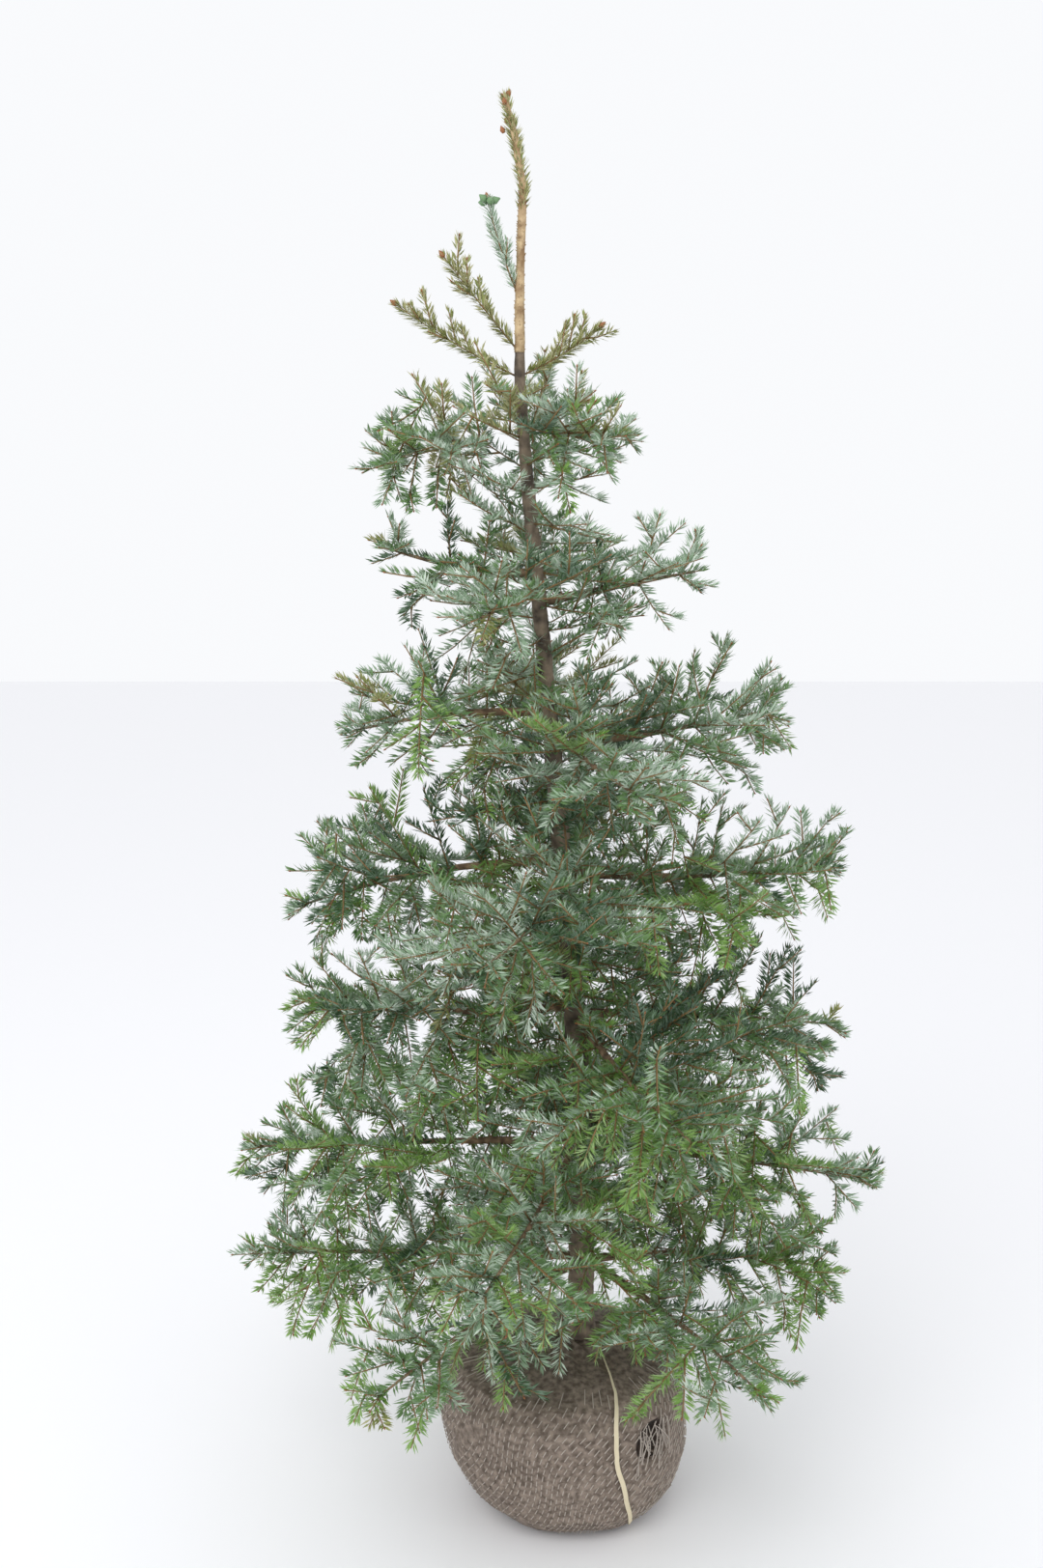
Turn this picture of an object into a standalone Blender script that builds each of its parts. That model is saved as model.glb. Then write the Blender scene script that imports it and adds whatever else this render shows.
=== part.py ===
"""A young Serbian spruce, about 1.86 m tall, standing on its hessian-wrapped root ball.

Metres, +Z up. The origin is on the root ball's flat underside, below the middle of its belly.
+X is to the right and -Y towards a viewer who stands in front of the tree.
"""

import math

import bmesh
import bpy
import numpy as np
from mathutils import Vector, noise

# Overall sizes
TREE_HEIGHT = 1.862
BALL_RADIUS = 0.172
BALL_HEIGHT = 0.240

# Clearances between neighbouring solids
GAP = 0.0004
TRUNK_CLEARANCE = 0.006
BALL_CLEARANCE = 0.008
LIMB_MARGIN = 0.010
SHOOT_CLEARANCE = 0.018

# Facets
TRUNK_SIDES_RESOLUTION = 3
LIMB_SIDES_RESOLUTION = 1
LINE_STEPS = 28
BOUGH_RINGS = 5
MASS_SEGMENTS = 12
MASS_RINGS = 10
BALL_SEGMENTS = 32
SHARP_ANGLE = math.radians(50)

# The trunk's axis: height, place to the right and radius, with the root flare at the foot
TRUNK_BASE = BALL_HEIGHT + GAP
TRUNK_LINE = (
    (TRUNK_BASE, 0.026, 0.0240),
    (0.262, 0.026, 0.0200),
    (0.300, 0.027, 0.0178),
    (0.450, 0.030, 0.0162),
    (0.620, 0.022, 0.0150),
    (0.800, 0.010, 0.0136),
    (0.970, -0.006, 0.0121),
    (1.136, -0.021, 0.0105),
    (1.260, -0.033, 0.0094),
    (1.378, -0.045, 0.0084),
    (1.520, -0.057, 0.0068),
    (1.640, -0.057, 0.0056),
    (1.757, -0.053, 0.0047),
    (1.812, -0.063, 0.0040),
    (TREE_HEIGHT, -0.075, 0.0024),
)

# The crown's outline round the trunk's axis: height, reach to the left and reach to the right
CROWN_OUTLINE = (
    (0.120, 0.270, 0.200),
    (0.200, 0.370, 0.290),
    (0.300, 0.430, 0.320),
    (0.380, 0.470, 0.360),
    (0.490, 0.460, 0.390),
    (0.600, 0.405, 0.375),
    (0.700, 0.360, 0.345),
    (0.800, 0.360, 0.330),
    (0.920, 0.340, 0.350),
    (1.040, 0.300, 0.325),
    (1.150, 0.255, 0.285),
    (1.260, 0.210, 0.235),
    (1.360, 0.185, 0.185),
    (1.460, 0.190, 0.135),
    (1.560, 0.100, 0.090),
)
DEPTH_SHARE = 0.92
OUTLINE_LUMPS = 0.16
OUTLINE_LUMP_LENGTH = 0.11
TIP_RADIUS = 0.018

# Shoots round the bare leader: height on the trunk, azimuth, reach, rise, bow and radius, and
# how the radius runs from the trunk to the tip
LEADER_SHOOTS = (
    (1.583, 190, 0.036, 0.159, -0.010, 0.011),
    (1.560, 186, 0.091, 0.118, -0.006, 0.010),
    (1.530, 181, 0.151, 0.093, -0.012, 0.012),
    (1.530, 356, 0.097, 0.065, -0.010, 0.011),
)
SHOOT_TAPER = (0.35, 0.75, 1.00, 1.00, 0.95, 0.80, 0.45)

# The short sprays on the upper trunk: height, azimuth, reach, rise and bow, and the half width
# and half depth of each
TOP_SPRAYS = (
    (1.490, 183, 0.198, -0.075, 0.000),
    (1.472, 328, 0.150, 0.005, -0.010),
    (1.480, 76, 0.150, -0.005, -0.006),
)
TOP_SPRAY_SIZE = (0.100, 0.082)

# The boughs, tier by tier from the top: the foliage's half width and half depth, and for each
# bough its height on the trunk, azimuth, reach, rise of the tip and bow. A bow above zero arches
# over, and one below zero sags and turns the tip up.
TIERS = {
    "high": (
        0.150, 0.085,
        (
            (1.290, 172, 0.185, 0.050, -0.020),
            (1.270, 262, 0.200, 0.000, 0.000),
            (1.255, 352, 0.190, 0.090, -0.030),
            (1.280, 82, 0.205, 0.020, -0.010),
        ),
    ),
    "upper": (
        0.200, 0.122,
        (
            (1.110, 190, 0.255, 0.060, -0.020),
            (1.085, 282, 0.255, -0.020, 0.000),
            (1.070, 10, 0.300, 0.070, -0.030),
            (1.090, 100, 0.265, 0.020, -0.010),
        ),
    ),
    "middle": (
        0.240, 0.140,
        (
            (0.915, 172, 0.350, -0.040, 0.000),
            (0.900, 262, 0.305, -0.060, 0.012),
            (0.900, 352, 0.360, 0.035, -0.025),
            (0.910, 82, 0.320, -0.010, -0.005),
        ),
    ),
    "broad": (
        0.260, 0.142,
        (
            (0.715, 190, 0.370, 0.030, -0.020),
            (0.700, 282, 0.330, -0.080, 0.020),
            (0.705, 8, 0.365, -0.035, 0.000),
            (0.710, 98, 0.350, -0.030, 0.005),
        ),
    ),
    "low": (
        0.280, 0.128,
        (
            (0.525, 172, 0.475, -0.040, -0.010),
            (0.530, 260, 0.350, -0.100, 0.028),
            (0.520, 350, 0.400, -0.025, -0.012),
            (0.520, 84, 0.390, -0.050, 0.004),
        ),
    ),
    "skirt": (
        0.250, 0.078,
        (
            (0.355, 184, 0.480, 0.018, -0.020),
            (0.345, 226, 0.400, -0.050, 0.034),
            (0.345, 314, 0.345, -0.060, 0.034),
            (0.350, 4, 0.360, -0.030, 0.004),
            (0.350, 95, 0.385, -0.060, 0.012),
        ),
    ),
}
MASS_START = 0.20
SPRAY_START = 0.12
BOUGH_TIP_RADIUS = 0.0026
BOUGH_ROOT_SHARE = 0.40
SIDE_SWAY = 0.045

# The foliage's surface: how blunt its ends are, how it narrows outwards and how lumpy it is
BLUNTNESS = 0.65
NARROWING = 0.25
UNEVENNESS = 0.34
LUMP_LENGTH = 0.12
LUMPS_AROUND = 1.5
LIMB_SHIFT = 7.3

# Where a mass meets something, its surface is drawn in towards its bough in these steps
DRAWN_IN = tuple(np.linspace(1, 0.04, 24))

# The root ball's outline from the middle of its foot to its neck, as shares of its radius and
# height, and the middle line that its foot, belly and neck follow
BALL_OUTLINE = (
    (0.00, 0.000),
    (0.52, 0.000),
    (0.72, 0.050),
    (0.87, 0.170),
    (0.97, 0.360),
    (1.00, 0.580),
    (0.99, 0.760),
    (0.88, 0.870),
    (0.60, 0.930),
    (0.34, 0.965),
    (0.21, 1.000),
    (0.00, 1.000),
)
BALL_MIDDLE = ((0.00, 0.020), (0.60, 0.001), (0.85, 0.004), (1.00, 0.026))
BALL_LUMPS = 0.007
BALL_LUMPS_AROUND = 1.7
BALL_LUMP_LENGTH = 0.11

# The string over the root ball, from its neck down to its foot. Its ends are places along the
# ball's outline, counted in outline points.
STRING_PLACES = np.arange(9.5, 1.4, -0.25)
STRING_NECK_AZIMUTH = -52
STRING_FOOT_AZIMUTH = -50
STRING_BOW = -16
STRING_WIDTH = 0.009
STRING_THICKNESS = 0.0016
STRING_LIFT = 0.0018

COLOURS = {
    "bark": (0.20, 0.14, 0.10, 1.0),
    "shoot": (0.20, 0.25, 0.15, 1.0),
    "needles": (0.10, 0.19, 0.11, 1.0),
    "hessian": (0.30, 0.23, 0.18, 1.0),
    "string": (0.72, 0.64, 0.52, 1.0),
}


def clear_scene():
    for obj in list(bpy.data.objects):
        bpy.data.objects.remove(obj)


def make_collection(name):
    collection = bpy.data.collections.new(name)
    bpy.context.scene.collection.children.link(collection)
    return collection


def make_material(name, roughness):
    material = bpy.data.materials.new(name)
    material.use_nodes = True
    shader = material.node_tree.nodes["Principled BSDF"]
    shader.inputs["Base Color"].default_value = COLOURS[name]
    shader.inputs["Roughness"].default_value = roughness
    shader.inputs["Metallic"].default_value = 0.0
    return material


def heading(azimuth):
    angle = math.radians(azimuth)
    return np.array((math.cos(angle), math.sin(angle), 0.0))


def trunk_axis(height):
    """The trunk's axis point and radius at a height."""
    heights, sideways, radii = zip(*TRUNK_LINE)
    x = np.interp(height, heights, sideways)
    return np.array((x, 0.0, height)), float(np.interp(height, heights, radii))


class Limb:
    """A bough or shoot: a line from the trunk's axis to its tip."""

    def __init__(self, index, height, azimuth, reach, rise, bow):
        self.index = index
        self.root, self.root_trunk_radius = trunk_axis(height)
        self.forward = heading(azimuth)
        self.side = np.cross((0, 0, 1), self.forward)
        self.reach, self.rise, self.bow = reach, rise, bow
        self.sway = SIDE_SWAY * reach * math.sin(2.4 * index + 0.7)
        self.line = np.array([self.at(t) for t in np.linspace(0, 1, LINE_STEPS)])

    def at(self, t):
        bend = 4 * t * (1 - t)
        lift = np.array((0, 0, self.rise * t + self.bow * bend))
        return self.root + self.forward * self.reach * t + self.side * self.sway * bend + lift

    def frame(self, t):
        """The limb's direction, its sideways and its upward unit vectors at t."""
        step = 0.5 / LINE_STEPS
        along = self.at(min(t + step, 1)) - self.at(max(t - step, 0))
        along /= np.linalg.norm(along)
        side = np.cross((0, 0, 1), along)
        side /= np.linalg.norm(side)
        return along, side, np.cross(along, side)

    def distance(self, point):
        return float(np.linalg.norm(self.line - point, axis=1).min())


def ball_middle(height):
    shares, places = np.array(BALL_MIDDLE).T
    return np.array((np.interp(height / BALL_HEIGHT, shares, places), 0.0, 0.0))


def ball_point(azimuth, place):
    """A point of the root ball's lumpy surface, at a place counted in points of its outline."""
    radii, heights = np.array(BALL_OUTLINE).T
    radius = np.interp(place, range(len(radii)), radii) * BALL_RADIUS
    height = np.interp(place, range(len(radii)), heights) * BALL_HEIGHT
    out = heading(azimuth)
    belly = math.sin(math.pi * height / BALL_HEIGHT)
    spot = Vector(out * BALL_LUMPS_AROUND) + Vector((0, 0, height / BALL_LUMP_LENGTH))
    radius += BALL_LUMPS * belly * noise.noise(spot)
    return ball_middle(height) + out * radius + np.array((0, 0, height))


def inside_ball(point):
    """Whether a point is in the root ball or its clearance."""
    if point[2] > BALL_HEIGHT + BALL_CLEARANCE:
        return False
    radii, heights = np.array(BALL_OUTLINE[1:-1]).T
    height = min(max(point[2], 0), BALL_HEIGHT)
    radius = np.interp(height / BALL_HEIGHT, heights, radii) * BALL_RADIUS
    away = (point - ball_middle(height))[:2]
    return float(np.linalg.norm(away)) < radius + BALL_LUMPS + BALL_CLEARANCE


def inside_crown(point):
    """Whether a point is inside the crown's outline, a lumpy oval round the trunk's axis."""
    axis, _ = trunk_axis(point[2])
    away = point - axis
    heights, lefts, rights = zip(*CROWN_OUTLINE)
    left, right = (np.interp(point[2], heights, reach) for reach in (lefts, rights))
    sideways = right if away[0] > 0 else left
    depth = DEPTH_SHARE * (left + right) / 2
    lumps = 1 + OUTLINE_LUMPS * noise.noise(Vector(point / OUTLINE_LUMP_LENGTH))
    return math.hypot(away[0] / sideways, away[1] / depth) < lumps


def is_free(point, own, limbs, shoots):
    """Whether a point of a bough's foliage keeps clear of the trunk, the ball and other limbs."""
    axis, radius = trunk_axis(point[2])
    if np.linalg.norm(point[:2] - axis[:2]) < radius + TRUNK_CLEARANCE or inside_ball(point):
        return False
    if any(shoot.distance(point) < SHOOT_CLEARANCE for shoot in shoots):
        return False
    distance = own.distance(point)
    if distance > TIP_RADIUS and not inside_crown(point):
        return False
    return all(limb is own or limb.distance(point) > distance + LIMB_MARGIN for limb in limbs)


def tube(name, points, radii, resolution):
    """A curve object along points, as thick as radii say, with closed ends."""
    curve = bpy.data.curves.new(name, "CURVE")
    curve.dimensions = "3D"
    curve.bevel_depth = 1.0
    curve.bevel_resolution = resolution
    curve.use_fill_caps = True
    spline = curve.splines.new("POLY")
    spline.points.add(len(points) - 1)
    for spot, place, radius in zip(spline.points, points, radii):
        spot.co = (*place, 1.0)
        spot.radius = radius
    return bpy.data.objects.new(name, curve)


def as_mesh(obj, collection):
    """Replaces a linked curve object by a mesh object of the same name with welded caps."""
    graph = bpy.context.evaluated_depsgraph_get()
    mesh = bpy.data.meshes.new_from_object(obj.evaluated_get(graph))
    shape = bmesh.new()
    shape.from_mesh(mesh)
    bmesh.ops.remove_doubles(shape, verts=shape.verts, dist=1e-6)
    bmesh.ops.recalc_face_normals(shape, faces=shape.faces)
    shape.to_mesh(mesh)
    shape.free()
    name, matrix = obj.name, obj.matrix_world.copy()
    bpy.data.objects.remove(obj)
    made = bpy.data.objects.new(name, mesh)
    made.matrix_world = matrix
    collection.objects.link(made)
    return made


def finish(obj, material):
    obj.data.materials.clear()
    obj.data.materials.append(material)
    obj.data.shade_smooth()
    obj.data.set_sharp_from_angle(angle=SHARP_ANGLE)
    return obj


def mesh_object(name, shape, material, collection):
    """A finished object from a bmesh, which it frees."""
    mesh = bpy.data.meshes.new(name)
    shape.to_mesh(mesh)
    shape.free()
    obj = bpy.data.objects.new(name, mesh)
    collection.objects.link(obj)
    return finish(obj, material)


def make_trunk(collection, material):
    points = [(x, 0.0, height) for height, x, _ in TRUNK_LINE]
    trunk = tube("trunk", points, [radius for _, _, radius in TRUNK_LINE], TRUNK_SIDES_RESOLUTION)
    collection.objects.link(trunk)
    return finish(as_mesh(trunk, collection), material)


def make_trunk_cutter(collection):
    """The trunk grown by the gap, which trims the limbs' inner ends to its bark."""
    points = [(x, 0.0, height) for height, x, _ in TRUNK_LINE]
    radii = [radius + GAP for _, _, radius in TRUNK_LINE]
    cutter = tube("trunk_cutter", points, radii, TRUNK_SIDES_RESOLUTION)
    collection.objects.link(cutter)
    cutter = as_mesh(cutter, collection)
    cutter.hide_render = True
    cutter.display_type = "WIRE"
    return cutter


def trim(obj, cutter):
    cut = obj.modifiers.new("trunk", "BOOLEAN")
    cut.operation = "DIFFERENCE"
    cut.solver = "EXACT"
    cut.object = cutter


def make_limb_tube(name, limb, end, radii, cutter, collection, material):
    """A tapering limb from the trunk's bark to the share end of its line."""
    shares = np.linspace(0, end, len(radii))
    obj = tube(name, [limb.at(t) for t in shares], radii, LIMB_SIDES_RESOLUTION)
    collection.objects.link(obj)
    obj = finish(as_mesh(obj, collection), material)
    trim(obj, cutter)
    return obj


def make_bough(name, limb, cutter, collection, material):
    root_radius = BOUGH_ROOT_SHARE * limb.root_trunk_radius
    end = MASS_START - 2 * GAP / limb.reach
    radii = np.linspace(root_radius, BOUGH_TIP_RADIUS, BOUGH_RINGS)
    return make_limb_tube(name, limb, end, radii, cutter, collection, material)


def make_shoot(name, limb, radius, cutter, collection, material):
    """A leader shoot with its close needles: a spindle, thin where it leaves the trunk."""
    radii = radius * np.array(SHOOT_TAPER)
    return make_limb_tube(name, limb, 1, radii, cutter, collection, material)


def lobe(share, angle, limb):
    """The foliage's radius as a share of its tier's, at a share of its length and an angle."""
    along = share * limb.reach / LUMP_LENGTH + LIMB_SHIFT * limb.index
    around = (LUMPS_AROUND * math.cos(angle), LUMPS_AROUND * math.sin(angle))
    return (1 - NARROWING * share) * (1 + UNEVENNESS * noise.noise(Vector((*around, along))))


def mass_point(place, limb, start, width, depth, others):
    """Where a point of the unit sphere, whose poles are a mass's ends, lies on the mass."""
    x, y, z = place
    share = (1 + z) / 2
    centre = limb.at(start + (1 - start) * share)
    _, side, up = limb.frame(start + (1 - start) * share)
    angle = math.atan2(y, x)
    ring = max(1 - z * z, 0) ** (BLUNTNESS / 2)
    offset = side * math.cos(angle) * width + up * math.sin(angle) * depth
    offset *= ring * lobe(share, angle, limb)
    held = next((held for held in DRAWN_IN if is_free(centre + offset * held, limb, *others)), 0)
    return centre + offset * max(held, DRAWN_IN[-1])


def make_mass(name, limb, start, size, others, collection, material):
    """The foliage of a bough: a sphere drawn out along the bough, and held off its neighbours."""
    shape = bmesh.new()
    bmesh.ops.create_uvsphere(shape, u_segments=MASS_SEGMENTS, v_segments=MASS_RINGS, radius=1)
    for vertex in shape.verts:
        vertex.co = mass_point(vertex.co, limb, start, *size, others)
    return mesh_object(name, shape, material, collection)


def make_ball(collection, material):
    """The root ball: a sphere with one ring for each point of the ball's outline."""
    places = len(BALL_OUTLINE) - 1
    shape = bmesh.new()
    bmesh.ops.create_uvsphere(shape, u_segments=BALL_SEGMENTS, v_segments=places, radius=1)
    for vertex in shape.verts:
        x, y, z = vertex.co
        polar = 1 - math.acos(max(-1, min(1, z))) / math.pi
        vertex.co = ball_point(math.degrees(math.atan2(y, x)), polar * places)
    return mesh_object("root_ball", shape, material, collection)


def string_section(place):
    """The string's four corners at a place on the ball, from its inner left round."""
    share = (STRING_PLACES[0] - place) / (STRING_PLACES[0] - STRING_PLACES[-1])
    azimuth = STRING_NECK_AZIMUTH + (STRING_FOOT_AZIMUTH - STRING_NECK_AZIMUTH) * share
    azimuth += STRING_BOW * 4 * share * (1 - share)
    step = 0.5 * (STRING_PLACES[0] - STRING_PLACES[1])
    down = ball_point(azimuth, place - step) - ball_point(azimuth, place + step)
    across = np.cross((0, 0, 1), heading(azimuth))
    outward = np.cross(down / np.linalg.norm(down), across)
    low = ball_point(azimuth, place) + outward * STRING_LIFT
    high = low + outward * STRING_THICKNESS
    half = across * STRING_WIDTH / 2
    return low - half, low + half, high + half, high - half


def make_string(collection, material):
    """The flat tie over the ball, lofted through its sections just off the ball's surface."""
    shape = bmesh.new()
    rings = []
    for place in STRING_PLACES:
        rings.append([shape.verts.new(corner) for corner in string_section(place)])
    for upper, lower in zip(rings, rings[1:]):
        for k in range(4):
            after = (k + 1) % 4
            shape.faces.new((upper[k], upper[after], lower[after], lower[k]))
    shape.faces.new(rings[0])
    shape.faces.new(rings[-1])
    bmesh.ops.recalc_face_normals(shape, faces=shape.faces)
    return mesh_object("tie_string", shape, material, collection)


def main():
    clear_scene()
    tree = make_collection("serbian_spruce")
    helpers = make_collection("cutters")
    bark = make_material("bark", 0.9)
    shoot_green = make_material("shoot", 0.7)
    needle_green = make_material("needles", 0.6)

    make_ball(tree, make_material("hessian", 0.95))
    make_string(tree, make_material("string", 0.7))
    make_trunk(tree, bark)
    cutter = make_trunk_cutter(helpers)

    shoots = [Limb(k, *row[:5]) for k, row in enumerate(LEADER_SHOOTS)]
    for k, (limb, row) in enumerate(zip(shoots, LEADER_SHOOTS)):
        make_shoot(f"leader_shoot_{k + 1}", limb, row[5], cutter, tree, shoot_green)

    sprays = [Limb(k, *row) for k, row in enumerate(TOP_SPRAYS)]
    boughs = []
    for tier, (width, depth, rows) in TIERS.items():
        for k, row in enumerate(rows):
            limb = Limb(len(sprays) + len(boughs), *row)
            boughs.append((f"{tier}_{k + 1}", limb, (width, depth)))
    others = (sprays + [limb for _, limb, _ in boughs], shoots)
    for k, limb in enumerate(sprays):
        name = f"top_spray_{k + 1}"
        make_mass(name, limb, SPRAY_START, TOP_SPRAY_SIZE, others, tree, needle_green)
    for name, limb, size in boughs:
        make_bough(f"bough_{name}", limb, cutter, tree, bark)
        make_mass(f"needles_{name}", limb, MASS_START, size, others, tree, needle_green)


main()
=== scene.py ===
import math

import bpy
import numpy as np
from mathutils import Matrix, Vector, noise
from mathutils.bvhtree import BVHTree


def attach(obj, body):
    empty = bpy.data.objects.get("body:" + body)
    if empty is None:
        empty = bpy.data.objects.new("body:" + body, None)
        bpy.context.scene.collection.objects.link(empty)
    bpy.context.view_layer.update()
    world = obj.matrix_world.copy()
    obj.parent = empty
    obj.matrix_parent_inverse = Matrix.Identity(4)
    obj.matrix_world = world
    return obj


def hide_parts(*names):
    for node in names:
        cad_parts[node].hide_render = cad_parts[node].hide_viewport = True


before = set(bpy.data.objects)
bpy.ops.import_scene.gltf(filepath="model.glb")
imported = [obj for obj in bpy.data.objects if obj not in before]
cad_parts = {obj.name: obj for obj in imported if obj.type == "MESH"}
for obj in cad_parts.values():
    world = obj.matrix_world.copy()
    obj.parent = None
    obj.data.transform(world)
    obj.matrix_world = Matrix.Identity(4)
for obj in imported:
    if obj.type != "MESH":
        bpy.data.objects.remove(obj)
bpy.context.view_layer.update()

# A balled serbian spruce: bark, twigs, needles, buds, the cloth of the root ball and its string.
# Metres, +Z up, +X to the right of the photograph. Every shape grows from the frame's own solids.
# A place along a limb or shoot runs from 0 at its root to 1 at its tip.

SEED = 20
UP = np.array((0.0, 0.0, 1.0))
FULL_TURN = 2 * math.pi

TIERS = {"high": 4, "upper": 4, "middle": 4, "broad": 4, "low": 4, "skirt": 5}
MASSES = [f"{tier}_{k}" for tier, count in TIERS.items() for k in range(1, count + 1)]
LEADER_SHOOTS = [f"leader_shoot_{k}" for k in range(1, 5)]
TOP_SPRAYS = [f"top_spray_{k}" for k in range(1, 4)]
CROWN = [f"needles_{mass}" for mass in MASSES] + LEADER_SHOOTS + TOP_SPRAYS

# How a limb's line is read from its solids
SLICE_PLACES = (0.4, 0.55, 0.7)
SLICE_HALF_WIDTH = 0.12
BEND_SHARE = 0.6
TANGENT_STEP = 0.02
ROOT_PART = 12
LEAST_ROOT_POINTS = 3
RAY_INSET = 0.001
LEAST_TRUNK_RADIUS = 0.001

# The line of any shoot
SEGMENT = 0.02
LEAST_SEGMENTS = 4
WANDER = 0.025
PLACE_JITTER = (0.2, 0.8)
SURFACE_MARGIN = -0.010
OPEN_REACH = 0.10

# First shoots, along a bough: rolls are in radians round the bough, angles in degrees off it
FIRST_SPACING = 0.044
FIRST_LAST_PLACE = 0.97
SIDE_ROLLS = (-0.6, 0.7)
UPRIGHT_ROLLS = (0.9, 2.2)
FIRST_ANGLE_AT_ROOT = 98
FIRST_ANGLE_FALL = 60
FIRST_ANGLE_SPREAD = 9
FIRST_LONGEST = 0.34
FIRST_SHORTEST = 0.025
FIRST_LENGTH_SHARE = (0.86, 1.0)
FIRST_LIFT = (-0.02, 0.10)
FIRST_WEIGHT = 0.85
MASS_START = 0.22
SPRAY_START = 0.08
SPRAY_SPACING = 0.024
LEADING_SHOOT = (0.35, 0.985)
LEADING_POINTS = 12

# Second and third shoots, along their parent
SECOND_SPACING = 0.034
THIRD_SPACING = 0.030
SIDE_FIRST_PLACE = 0.06
SIDE_SPAN = 0.88
SIDE_ROLL_SPREAD = 0.6
SIDE_ANGLE = (42, 56)
SIDE_LENGTH_SHARE = 0.52
SIDE_EXTRA_LENGTH = (0.022, 0.045)
SIDE_OVERSHOOT = 0.012
SIDE_LONGEST = 0.16
SIDE_SHORTEST = 0.018
SIDE_LIFT = (-0.02, 0.16)
SAME_PALETTE_SHARE = 0.8
BRANCHING_LENGTH = 0.085

# Second shoots that hang: the lowest height of a zone, and their share there
HANGING_ZONES = ((1.00, 0.05), (0.70, 0.25), (0.00, 0.40))
HANGING_KEEP = 0.5
HANGING_DROP = (0.5, 1.1)
HANGING_LENGTH = (0.05, 0.12)
HANGING_LIFT = -0.1
HANGING_FRESH_SHARE = 0.6

# Short shoots on the trunk between the whorls
INNER_SHOOTS = 84
INNER_FOOT = 0.36
INNER_TOP = 1.50
INNER_TURN = 2.4
INNER_TURN_SPREAD = 0.3
INNER_RISE = (-0.25, 0.55)
INNER_LENGTH_SHARE = (0.75, 1.0)
INNER_TOP_LENGTH = 0.12
INNER_GROWTH = 0.13
INNER_LIFT = (-0.05, 0.15)
INNER_WEIGHT = 0.55

# Needles
NEEDLE_TOTAL = 200000
NEEDLE_LENGTH = 0.0180
NEEDLE_WIDTH = 0.0026
NEEDLE_RAISE = 0.0004
NEEDLE_SIZES = (0.82, 1.10)
NEEDLE_FIRST_PLACE = 0.02
NEEDLE_LIFT = 0.10
NEEDLE_WIDEST = 0.42
NEEDLE_CORNERS = np.array(((0, 3, 2), (1, 2, 3), (0, 2, 1), (0, 1, 3)))
LEAST_NEEDLES = 4
FLAT_ROLLS = (-0.35, 1.05)
LEAN = 58.0
LEAN_SPREAD = 7
TIP_LEAN_SHARE = 0.50
TIP_LEAN_LENGTH = 0.022
TIP_SIZE_SHARE = 0.72
TIP_SIZE_LENGTH = 0.010
FACE_SPREAD = 0.38
TURNED_SHARE = 0.22
STEEP = 0.9

# Needle colours: upper side and underside, as seen on screen
PALETTES = {
    "deep": ((66, 96, 60), (122, 146, 124)),
    "mid": ((102, 136, 82), (160, 180, 156)),
    "silver": ((136, 162, 132), (204, 218, 202)),
    "fresh": ((120, 158, 76), (150, 176, 118)),
    "olive": ((138, 146, 84), (176, 174, 128)),
}
PALETTE_NAMES = list(PALETTES)
# Lowest height of a zone, and the share of each palette there
PALETTE_ZONES = (
    (1.45, (0.05, 0.35, 0.22, 0.05, 0.33)),
    (1.00, (0.12, 0.38, 0.40, 0.04, 0.06)),
    (0.65, (0.15, 0.43, 0.24, 0.16, 0.02)),
    (0.00, (0.12, 0.42, 0.22, 0.22, 0.02)),
)

# Twigs and buds: a bud is a length and a radius
TWIG_ROOT_RADIUS = 0.0016
TWIG_TIP_RADIUS = 0.0008
TWIG_SIDES = 3
TWIG_LEAST_RINGS = 3
TWIG_POINTS_PER_RING = 6
BUD_STEPS = np.array((0.0, 0.45, 1.0))
BUD_SHAPE = np.array((0.55, 1.0, 0.15))
BIG_BUD_RADIUS = 0.002
TIP_BUD = (0.0045, 0.0014)
LEADER_BUD = (0.009, 0.0034)
SHOOT_BUD = (0.010, 0.0036)
ROUND_BUD = (0.012, 0.0050)
PEG = (0.0035, 0.0009)

# Trunk and boughs
TRUNK_FOOT = 0.2404
TRUNK_TOP = 1.862
BARK_STEP = 0.004
BARK_SIDES = 24
BARK_DEPTH = 0.13
LEADER_BARK_DEPTH = 0.16
LEADER_BARK_SEED = 4.0
GRAIN_ROUND = 1.6
GRAIN_ALONG = 55
FINE_GRAIN = 2.7
PEG_COUNT = 240
PEG_TOP_OVERLAP = 0.03
PEG_RISE = 0.9
PEG_SPOT = 0.8
BOUGH_STEP = 0.006
BOUGH_END = 0.94
BOUGH_RADII = (0.0062, 0.0013)
BOUGH_SIDES = 9
BOUGH_BARK_DEPTH = 0.14

# The leader, and the upright shoots below it
LEADER_FOOT = 1.56
LEADER_NEEDLES = 1.72
LEADER_POINTS = 20
LEADER_INSET = 0.004
LEADER_STYLE = {"weight": 2.2, "lean": 42, "needle": 0.95}
SHOOT_STYLE = {"weight": 1.9, "lean": 42, "needle": 0.9}
TWIGLET_STYLE = {"weight": 1.0, "lean": 42, "needle": 0.8}
BLUE_SHOOT = "leader_shoot_1"
BLUE_TWIGLETS = 2
TWIGLETS = 5
TWIGLET_FIRST_PLACE = 0.30
TWIGLET_SPACING = 0.11
TWIGLET_JITTER = 0.05
TWIGLET_LENGTH = (0.025, 0.045)
TWIGLET_LIFT = 0.2
SHOOT_END = 0.97
SHOOT_POINTS = 14
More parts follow.
